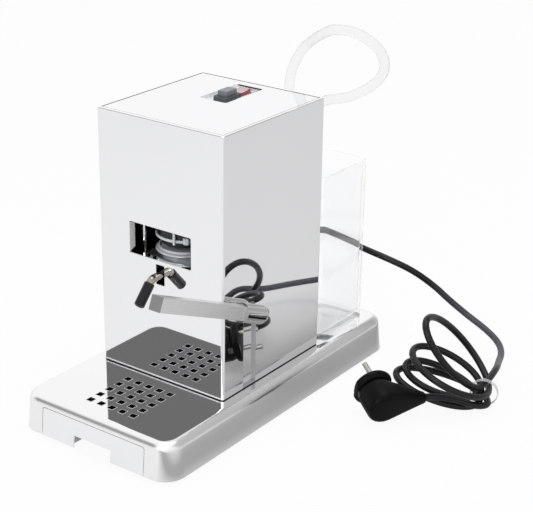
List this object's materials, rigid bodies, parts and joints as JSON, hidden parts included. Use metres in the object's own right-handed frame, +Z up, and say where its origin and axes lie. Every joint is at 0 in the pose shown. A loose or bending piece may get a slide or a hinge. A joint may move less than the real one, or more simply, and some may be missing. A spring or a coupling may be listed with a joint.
{
  "type": "pod espresso machine",
  "caption": "Pod espresso machine in mirror-polished steel with a side lever, steel spout, drip tray, clear water vessel with a hose, and a mains lead with its plug",
  "frame": {"origin": "on the table, under the middle of the base", "axes": "+Z up, -Y out of the front with the spout, +X towards the side with the lever"},
  "size_m": [0.3249, 0.4027, 0.3459],
  "materials": {
    "mirror_steel": "mirror-polished stainless steel",
    "brushed_steel": "fine brushed steel bar",
    "inner_steel": "plain sheet steel, mill finish",
    "chrome": "bright chrome plate",
    "dark_metal": "dark burnished casting",
    "brass": "machined brass",
    "copper_pipe": "drawn copper pipe",
    "black_rubber": "soft matt rubber",
    "black_plastic": "fine-grained plastic",
    "red_plastic": "polished plastic",
    "white_plastic": "plain moulded plastic",
    "clear_plastic": "clear moulded plastic",
    "cord_black": "smooth flexible sheath",
    "heater_mica": "heater band in steel and mica"
  },
  "bodies": {
    "machine": {"base_shell": "mirror_steel", "base_feet": "black_rubber", "foot_screws": "inner_steel", "base_floor_plate": "inner_steel", "tray_rails": "inner_steel", "casing_seal": "black_rubber", "casing_shell": "mirror_steel", "rear_panel": "mirror_steel", "rear_panel_screws": "inner_steel", "top_cover": "mirror_steel", "button_boot": "black_rubber", "brew_switch_body": "black_plastic", "power_switch_body": "white_plastic", "lever_bushes": "brass", "shaft_bracket": "inner_steel", "guide_columns": "chrome", "chassis_frame": "inner_steel", "bridge_screws": "inner_steel", "chassis_screws": "inner_steel", "group_bridge": "inner_steel", "group_body": "dark_metal", "group_gasket": "black_rubber", "shower_screen": "chrome", "heating_band": "heater_mica", "thermostat": "white_plastic", "relief_valve": "brass", "pump_body": "black_plastic", "pump_mount": "black_rubber", "pump_bracket": "inner_steel", "pressure_pipe": "copper_pipe", "inner_hose": "clear_plastic", "hose_grommet": "black_rubber", "terminal_block": "white_plastic", "suction_hose": "clear_plastic", "hose_filter": "white_plastic", "cord_gland": "black_rubber", "power_cord": "cord_black", "cord_coil": "cord_black", "cord_tie": "clear_plastic", "plug_body": "black_plastic", "plug_pins": "chrome", "plug_earth_clips": "inner_steel"},
    "lever": {"lever_bar": "brushed_steel", "lever_knuckle": "chrome", "lever_shaft": "inner_steel", "crank_arm": "inner_steel", "crank_roller": "brass", "shaft_collar": "inner_steel"},
    "carriage": {"pod_holder": "chrome", "holder_carriage": "inner_steel", "holder_bushes": "brass", "holder_yoke": "inner_steel", "spout_tube": "chrome", "spout_tip": "black_rubber"},
    "button": {"brew_button": "black_rubber"},
    "rocker": {"power_rocker": "red_plastic"},
    "tray": {"tray_front": "mirror_steel", "tray_pan": "inner_steel"},
    "tank": {"water_tank": "clear_plastic"}
  },
  "joints": [
    {"name": "lever_hinge", "type": "hinge", "parent": "machine", "child": "lever", "pos_m": [0.07925, -0.0349, 0.111], "axis": [1, 0, 0], "range_deg": [-28, 28]},
    {"name": "carriage_slide", "type": "slide", "parent": "machine", "child": "carriage", "axis": [0, 0, 1], "range_m": [-0.0048, 0.0048]},
    {"name": "button_press", "type": "slide", "parent": "machine", "child": "button", "axis": [0, 0, -1], "range_m": [0, 0.003], "stiffness_N_per_m": 400, "springref_m": -0.002},
    {"name": "rocker_tip", "type": "hinge", "parent": "machine", "child": "rocker", "pos_m": [-0.00405, 0.0477, 0.2753], "axis": [1, 0, 0], "range_deg": [-14, 0]},
    {"name": "tray_slide", "type": "slide", "parent": "machine", "child": "tray", "axis": [0, -1, 0], "range_m": [0, 0.1]},
    {"name": "tank_lift", "type": "slide", "parent": "machine", "child": "tank", "axis": [0, 0, 1], "range_m": [0, 0.035]}
  ],
  "couplings": [
    {"joint": "carriage_slide", "follows": "lever_hinge", "m_per_rad": 0.0098}
  ]
}
